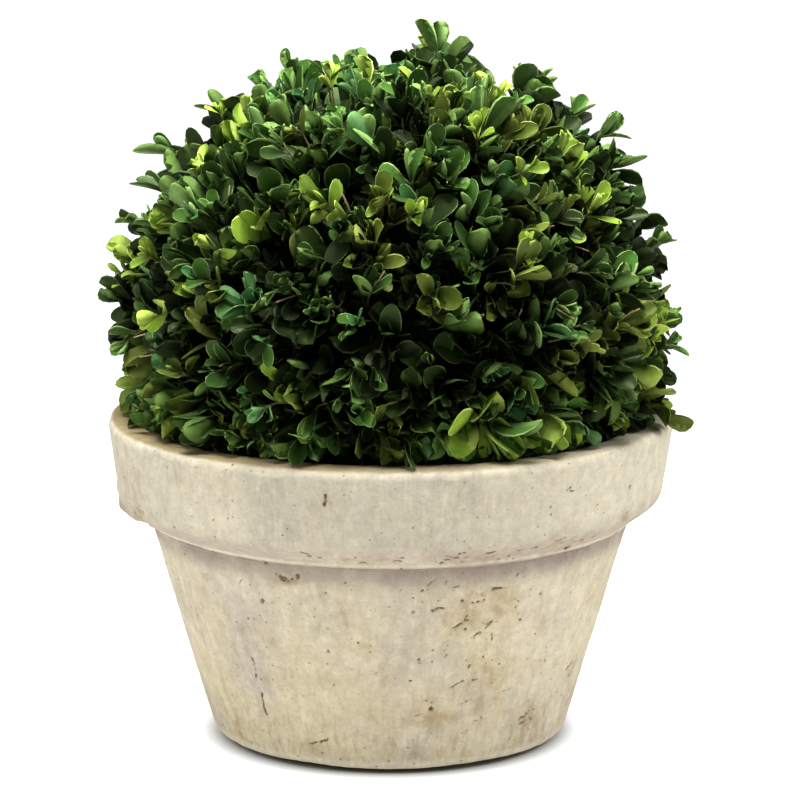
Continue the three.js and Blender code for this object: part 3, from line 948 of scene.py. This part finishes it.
leafShape = {
    "seed": 17,
    "rings": [0.08, 0.28, 0.5, 0.7, 0.86, 0.965],  # shares of the length where the outline is set
    "columns": [-1, -0.89, -0.5, 0, 0.5, 0.89, 1],  # shares of the half width: rim, blade, midrib, blade, rim
    "pairs": [  # distance back from the tip, length, angle off the twig
        (0.0, 9.6, 13), (2.0, 13.2, 24), (6.0, 15.4, 33), (11.0, 15.8, 41), (16.5, 15.2, 47),
    ],
    "shootPairs": [(0.0, 5.4, 12), (1.4, 8.0, 26), (4.2, 9.2, 38)],
    "slim": (0.2, 0.285),  # half width as a share of the length
    "shootSlim": (0.19, 0.26),
    "missing": 0.18,  # share of the leaves that the shears or the wind took
    "lowerLonger": 0.22,  # how much longer the leaves near the lip are
    "thick": 0.3 * mm,
    "paintedShadeAtFoot": 0.35,  # how dark a leaf is at its foot, painted shade
    "paintedShadeAtTip": 0.92,  # and how light at its tip
    "most": 199000,  # triangles in a piece
    "mottle": 2.8 * mm,
}
# each part's roughness and the strength of its shine
leafParts = [("Blade", 0.38, 0.28), ("MarginAndHighlight", 0.45, 0.3), ("Back", 0.6, 0.15)]
leafShine = "#cfe6a0"
leafFamilies = {  # the blade's, the rim's and the back's colour; the rim's is partly the pale margin, partly a painted highlight
    "shaded": ("#10180a", "#2c3a1e", "#1f2b13"),
    "dark": ("#202f13", "#506636", "#3d5124"),
    "deepGreen": ("#324c20", "#7a9656", "#5b7638"),
    "midGreen": ("#4f7a32", "#a6c077", "#769650"),
    "coolGreen": ("#3c6b38", "#86ab72", "#5f8a50"),
    "olive": ("#5a6a27", "#a2ae5a", "#727f38"),
    "yellowGreen": ("#86a636", "#c0d074", "#98ae4c"),
    "lime": ("#a2c63e", "#cfe080", "#aec454"),
}
familyShares = {  # chances for sprays whose tips lie deep, halfway and at the surface
    "deep": (0.70, 0.24, 0.04, 0.0, 0.01, 0.01, 0.0, 0.0),
    "middle": (0.22, 0.34, 0.23, 0.08, 0.05, 0.06, 0.02, 0.0),
    "surface": (0.05, 0.22, 0.28, 0.23, 0.08, 0.09, 0.045, 0.005),
    "shoot": (0.0, 0.0, 0.14, 0.34, 0.08, 0.12, 0.24, 0.08),
}
frontSprays = {  # young or sunlit growth that faces the camera, by its places in the view
    "yellowGreen": [(497, 82), (463, 95), (140, 215), (665, 385), (640, 425), (120, 272), (360, 330),
                    (215, 210), (612, 172), (620, 225), (150, 262), (245, 432)],
    "lime": [(520, 70), (215, 280), (410, 455), (600, 420), (690, 330)],
    "olive": [(385, 222), (400, 200), (590, 275), (165, 375), (560, 180), (265, 235), (180, 290),
              (390, 250), (215, 415)],
    "midGreen": [(272, 103), (340, 108), (440, 375), (470, 270), (350, 365), (250, 120), (225, 110),
                 (455, 140), (300, 85), (370, 60), (545, 365), (430, 60)],
    "coolGreen": [(450, 268), (360, 60), (445, 140), (215, 300), (235, 310), (370, 320), (560, 350)],
}
backSprays = {  # and some that faces away from it or stands on top, by azimuth and elevation round the crown
    "yellowGreen": [(60, 20), (110, 45), (150, -5), (35, -8), (85, 5)],
    "lime": [(100, 62), (130, 18)],
    "olive": [(45, 30), (150, 30), (95, -5)],
    "midGreen": [(47, 77), (80, 35), (120, 10), (30, 50)],
    "coolGreen": [(70, 55), (140, 35)],
}
frontSpraySurface = 96 * mm  # radius of the ball that the rays are taken to meet
frontSprayEdge = 0.06  # least square of the cosine, for rays that pass at or beyond its edge


def wayThrough(x, y):
    # the direction from the crown's middle to where a ray meets that ball, or passes nearest to it
    rays, toMiddle = viewRays(x, y), crownMiddle - eye
    aside = rays * (rays @ toMiddle)[:, None] - toMiddle
    share = np.linalg.norm(aside, axis=1) / frontSpraySurface
    depth = frontSpraySurface * np.sqrt(np.maximum(1 - share ** 2, frontSprayEdge))
    return unit(aside - rays * depth[:, None])


def makeLeafMaterials(name, colours):
    # Box leaf: a leathery blade under a thin wax, satin above, with a thin pale rim and a dull paler back;
    # the rim is partly the leaf's pale margin and partly a painted highlight, and the tone attribute paints
    # shade towards each leaf's foot.
    made = []
    for (part, roughness, level), colour in zip(leafParts, colours):
        material, tree = newMaterial(name + part)
        place = addNode(tree, "ShaderNodeTexCoord").outputs["Object"]
        mottle = addNode(tree, "ShaderNodeTexNoise", {"Scale": 1 / leafShape["mottle"], "Detail": 3},
                         {"Vector": place})
        patchy = addNode(tree, "ShaderNodeMapRange",
                         {"From Min": 0.3, "From Max": 0.7, "To Min": 0.8, "To Max": 1.15},
                         {"Value": mottle.outputs["Fac"]})
        # painted shade: the tone attribute darkens the leaf towards its foot
        along = addNode(tree, "ShaderNodeAttribute", attribute_name="tone")
        tone = addNode(tree, "ShaderNodeMath", links={0: patchy.outputs["Result"], 1: along.outputs["Fac"]},
                       operation="MULTIPLY")
        shade = addNode(tree, "ShaderNodeHueSaturation", {"Color": linear(colour)},
                        {"Value": tone.outputs["Value"]})
        bump = addNode(tree, "ShaderNodeBump", {"Strength": 0.25, "Distance": 0.12 * mm},
                       {"Height": mottle.outputs["Fac"]})
        leaf = addNode(tree, "ShaderNodeBsdfPrincipled",
                       {"Roughness": roughness, "IOR": 1.45, "Specular IOR Level": level,
                        "Specular Tint": linear(leafShine)},
                       {"Base Color": shade.outputs["Color"], "Normal": bump.outputs["Normal"]})
        finishMaterial(tree, leaf)
        made.append(material)
    return made


def leafTopology(rings, columns):
    # one leaf's faces: strips above, two strips below that share the rim, and a point at each end
    strips, below = columns - 1, rings * columns
    base, tip = below + rings, below + rings + 1
    top = np.arange(rings * columns).reshape(rings, columns)
    under = np.arange(rings) + below
    kind = np.array([1 if k in (0, strips - 1) else 0 for k in range(strips)])
    quads = [np.stack([top[:-1, k], top[:-1, k + 1], top[1:, k + 1], top[1:, k]], -1) for k in range(strips)]
    quads += [np.stack([top[:-1, 0], top[1:, 0], under[1:], under[:-1]], -1),
              np.stack([under[:-1], under[1:], top[1:, -1], top[:-1, -1]], -1)]
    fans = [(base, top[0, k + 1], top[0, k]) for k in range(strips)]
    fans += [(tip, top[-1, k], top[-1, k + 1]) for k in range(strips)]
    fans += [(base, top[0, 0], under[0]), (base, under[0], top[0, -1])]
    fans += [(tip, under[-1], top[-1, 0]), (tip, top[-1, -1], under[-1])]
    quadKinds = np.concatenate([kind.repeat(rings - 1), np.full(2 * (rings - 1), 2)])
    return np.concatenate(quads), np.array(fans), quadKinds, np.concatenate([kind, kind, np.full(4, 2)])


def pathPoint(paths, back):
    # the point and direction at a distance back from each path's end
    steps = np.linalg.norm(np.diff(paths, axis=1), axis=2)
    fromEnd = np.concatenate([np.cumsum(steps[:, ::-1], axis=1)[:, ::-1], np.zeros((len(paths), 1))], 1)
    after = np.clip((fromEnd >= back[:, None]).sum(1), 1, paths.shape[1] - 1)
    row = np.arange(len(paths))
    share = np.clip((back - fromEnd[row, after]) / steps[row, after - 1], 0, 1)[:, None]
    way = unit(paths[row, after] - paths[row, after - 1])
    return paths[row, after] * (1 - share) + paths[row, after - 1] * share, way


def dealFamilies(rng):
    # one family for each spray, by how deep its tip lies: deeper sprays get darker families, painted shade
    ways = unit(sprays[:, -1] - crownMiddle)
    depth = np.clip(sprayDepth / mm - 4.5 * smoothStep(-ways[:, 2], -0.05, 0.15), 0, 26)
    surface, deep = 1 - smoothStep(depth, 8, 15), smoothStep(depth, 14, 21)
    chances = (surface[:, None] * familyShares["surface"] + deep[:, None] * familyShares["deep"]
               + (1 - surface - deep)[:, None] * familyShares["middle"])
    chances[-crown["shoots"]:] = familyShares["shoot"]
    # share of the sprays that are one family lighter, at the top and low down: painted light
    paintedLight = 0.75 * smoothStep(ways[:, 2:], 0.35, 0.75) + 0.65 * smoothStep(-ways[:, 2:], 0.08, 0.25)
    chances[:, 1:4] = chances[:, 1:4] * (1 - paintedLight) + chances[:, 0:3] * paintedLight
    chances[:, :1] *= 1 - paintedLight
    # and that are one family darker, round the middle: painted shade
    paintedShadeBelt = 0.5 * smoothStep(ways[:, 2:], -0.15, 0.0) * (1 - smoothStep(ways[:, 2:], 0.3, 0.5))
    chances[:, :3] = chances[:, :3] * (1 - paintedShadeBelt) + chances[:, 1:4] * paintedShadeBelt
    chances[:, 3:4] *= 1 - paintedShadeBelt
    chances[:, 6:7] += 0.04 * paintedLight
    steps = np.cumsum(chances / chances.sum(1, keepdims=True), axis=1)
    family = np.minimum((rng.uniform(size=(len(depth), 1)) > steps).sum(1), len(leafFamilies) - 1)
    shallow = ways * (sprayDepth < 16 * mm)[:, None]
    for name, places in frontSprays.items():
        facing = wayThrough(*np.array(places, float).T)
        placed = np.concatenate([facing, wayOf(*np.array(backSprays[name], float).T)])
        family[(shallow @ placed.T).argmax(0)] = list(leafFamilies).index(name)
    return family


def setPairs(paths, family, pairs, slims, s, rng):
    # pairs across each twig, each pair turned a quarter from the last, opening out away from the tip
    count = len(paths)
    lower = smoothStep(-unit(paths[:, -1] - crownMiddle)[:, 2], -0.1, 0.25)
    vigour = np.clip(np.exp(rng.normal(0, 0.14, count)), 0.75, 1.22) * (1 + s["lowerLonger"] * lower)
    slim, firstTurn = rng.uniform(*slims, count), rng.uniform(0, math.tau, count)
    sets = []
    for order, (back, length, angle) in enumerate(pairs):
        place, way = pathPoint(paths, back * mm * vigour)
        aside = unit(np.cross(way, np.where(np.abs(way[:, 2:]) > 0.9, [1.0, 0, 0], [0, 0, 1.0])))
        other = np.cross(way, aside)
        for side in (0, 1):
            turn = firstTurn + order * math.pi / 2 + side * math.pi + rng.normal(0, 0.5, count)
            tilt = np.radians(angle + rng.normal(0, 15, count))
            out = aside * np.cos(turn)[:, None] + other * np.sin(turn)[:, None]
            ahead = way * np.cos(tilt)[:, None] + out * np.sin(tilt)[:, None]
            face = way * np.sin(tilt)[:, None] - out * np.cos(tilt)[:, None]
            own = length * mm * vigour * rng.uniform(0.78, 1.15, count)
            own[rng.uniform(size=count) < 0.1] *= 0.6
            olderAndShaded = max(0, order - 1) * ((family >= 1) & (family <= 4))  # leaves further back are darker: partly their age, partly painted shade
            kept = rng.uniform(size=count) > s["missing"] * (order > 0)
            ownSlim = slim * rng.uniform(0.88, 1.14, count)
            found = (place, ahead, face, own, ownSlim, np.maximum(family - olderAndShaded, 0))
            sets.append([part[kept] for part in found])
    return [np.concatenate([g[k] for g in sets]) for k in range(6)]


def layLeaves(s):
    rng = np.random.default_rng(s["seed"])
    family, young = dealFamilies(rng), crown["shoots"]
    grown = setPairs(sprays[:-young], family[:-young], s["pairs"], s["slim"], s, rng)
    small = setPairs(sprays[-young:], family[-young:], s["shootPairs"], s["shootSlim"], s, rng)
    place, ahead, face, length, slim, family = (np.concatenate(pair) for pair in zip(grown, small))
    total = len(length)
    face = face + rng.normal(0, 0.45, face.shape) + [0, 0, 0.2]
    face = unit(face - ahead * (face * ahead).sum(1, keepdims=True))
    across = np.cross(ahead, face)
    ring, column = np.array(s["rings"]), np.array(s["columns"])
    bulge, blunt = rng.uniform(0.85, 1.25, (total, 1)), rng.uniform(0.4, 0.56, (total, 1))
    width = ring ** bulge * (1 - ring) ** blunt
    most = (bulge / (bulge + blunt)) ** bulge * (blunt / (bulge + blunt)) ** blunt
    halfWidth = (slim * length)[:, None] * width / most
    cup = rng.normal(0.42, 0.28, (total, 1, 1))
    bend = rng.normal(-0.04, 0.17, (total, 1))
    twist = rng.normal(0, 0.35, (total, 1)) * ring
    along = length[:, None] * ring
    lift = length[:, None] * bend * ring ** 2
    sideways = halfWidth[:, :, None] * column
    raised = cup * halfWidth[:, :, None] * np.abs(column) ** 1.4 + sideways * twist[:, :, None]
    spine = place[:, None] + ahead[:, None] * along[..., None] + face[:, None] * lift[..., None]
    top = (spine[:, :, None] + across[:, None, None] * sideways[..., None]
           + face[:, None, None] * raised[..., None])
    under = spine - face[:, None] * (s["thick"] + 0.06 * halfWidth)[..., None]
    tips = place + ahead * length[:, None] + face * (length[:, None] * bend)
    points = np.concatenate([top.reshape(total, -1, 3), under, place[:, None], tips[:, None]], 1)
    return points, family


lipRoom = {
    "besideWall": 0.5 * mm,
    "outside": 1 * mm,
    "over": 0.6 * mm,
    "lift": 5 * mm,  # the most that a leaf is lifted
    "sunk": 2 * mm,  # below the lip, against the inner wall
    "low": 15 * mm,  # below the lip, anywhere
    "hanging": 7 * mm,  # below the lip, outside it
}


def keepClearOfPot(points, family):
    # leaves that reach into the lip are lifted onto it, and those that would need more than a little go
    radius = np.hypot(points[..., 0], points[..., 1])
    inWall = (radius > lipInner - lipRoom["besideWall"]) & (radius < rimRadius + lipRoom["outside"])
    short = np.where(inWall, potHeight + lipRoom["over"] - points[..., 2], 0).max(1)
    nearWall = radius > innerRadiusAt(points[..., 2], potShape) - lipRoom["besideWall"]
    sunk = ((points[..., 2] < potHeight - lipRoom["sunk"]) & nearWall).any(1) & (short > lipRoom["lift"])
    low = (points[..., 2] < potHeight - lipRoom["low"]).any(1)
    hanging = ((radius > rimRadius) & (points[..., 2] < potHeight - lipRoom["hanging"])).any(1)
    keep = ~(sunk | low | hanging) & (short < lipRoom["lift"])
    points = points[keep]
    points[..., 2] += np.maximum(short[keep], 0)[:, None]
    return points, family[keep]


def makeLeaves(s):
    points, family = keepClearOfPot(*layLeaves(s))
    quads, fans, quadKinds, fanKinds = leafTopology(len(s["rings"]), len(s["columns"]))
    perLeaf = points.shape[1]
    # painted shade along each leaf, dark at its foot and light at its tip
    share = np.concatenate([np.repeat(s["rings"], len(s["columns"])), s["rings"], [0, 1]])
    tone = s["paintedShadeAtFoot"] + (s["paintedShadeAtTip"] - s["paintedShadeAtFoot"]) * smoothStep(share, 0, 0.9)
    most = s["most"] // (2 * len(quads) + len(fans))
    for number, (name, colours) in enumerate(leafFamilies.items()):
        materials = makeLeafMaterials(name, colours)
        own = points[family == number]
        for part in range(math.ceil(len(own) / most)):
            some = own[part * most:(part + 1) * most]
            offset = np.arange(len(some))[:, None, None] * perLeaf
            faces = [(quads + offset).reshape(-1, 4), (fans + offset).reshape(-1, 3)]
            kinds = np.concatenate([np.tile(quadKinds, len(some)), np.tile(fanKinds, len(some))])
            piece = makePiece(f"leaves_{name}_{part + 1}", some.reshape(-1, 3), faces, materials, kinds,
                              {"tone": np.tile(tone, len(some))})
            standFor(piece, "foliage_ball")
    print("leaves", len(points), "triangles", len(points) * (2 * len(quads) + len(fans)))


makeLeaves(leafShape)

studio = {
    "floorSize": 12.0,
    "floorColour": "#b0b0af",
    "floorGlow": 1.0,
    "paintedShadowRing": (0.056, 0.065),  # the glow starts and is full at these distances from the pot's axis; nearer, the floor is left dark, a painted contact shadow round the foot
    "world": 0.085,
    "lamps": {  # place, size, watts
        "overhead": ((-0.02, -0.04, 0.68), 0.5, 11.9),
        "right": ((1.5, -0.5, 1.25), 0.9, 12.2),
        "left": ((-1.65, -0.6, 1.0), 0.9, 10.2),
    },
    "aim": (0, 0, 0.12),
}


def makeStudio(s):
    half = s["floorSize"] / 2
    points = np.array([[-half, -half, 0], [half, -half, 0], [half, half, 0], [-half, half, 0]])
    # Opal acrylic as on a product photographer's light table, matt white, whose glow is painted light that
    # keeps shadows pale; the glow fades out round the pot's foot, a painted contact shadow.
    material, tree = newMaterial("opalAcrylic")
    place = addNode(tree, "ShaderNodeTexCoord").outputs["Object"]
    grain = addNode(tree, "ShaderNodeTexNoise", {"Scale": 1 / 0.02, "Detail": 2}, {"Vector": place})
    bump = addNode(tree, "ShaderNodeBump", {"Strength": 0.02, "Distance": 0.1 * mm},
                   {"Height": grain.outputs["Fac"]})
    away = addNode(tree, "ShaderNodeVectorMath", links={0: place}, operation="LENGTH").outputs["Value"]
    dark, full = s["paintedShadowRing"]
    glow = addNode(tree, "ShaderNodeMapRange",
                   {"From Min": dark, "From Max": full, "To Min": 0.0, "To Max": s["floorGlow"]},
                   {"Value": away})
    acrylic = addNode(tree, "ShaderNodeBsdfPrincipled",
                      {"Base Color": linear(s["floorColour"]), "Roughness": 0.95, "Specular IOR Level": 0.1,
                       "Emission Color": (1, 1, 1, 1)},
                      {"Normal": bump.outputs["Normal"], "Emission Strength": glow.outputs["Result"]})
    finishMaterial(tree, acrylic)
    floor = makePiece("studioFloor", points, [np.array([[0, 1, 2, 3]])], [material])
    world = bpy.data.worlds.new("studio")
    world.use_nodes = True
    world.node_tree.nodes["Background"].inputs["Color"].default_value = (1, 1, 1, 1)
    world.node_tree.nodes["Background"].inputs["Strength"].default_value = s["world"]
    bpy.context.scene.world = world
    for name, (place, size, watts) in s["lamps"].items():
        data = bpy.data.lights.new(name, "AREA")
        data.shape = "DISK"
        data.size = size
        data.energy = watts
        lamp = bpy.data.objects.new(name, data)
        lamp.location = place
        lamp.rotation_euler = (Vector(s["aim"]) - Vector(place)).to_track_quat("-Z", "Y").to_euler()
        bpy.context.scene.collection.objects.link(lamp)
    bpy.context.scene.view_settings.view_transform = "Standard"


makeStudio(studio)
print("studio lit")
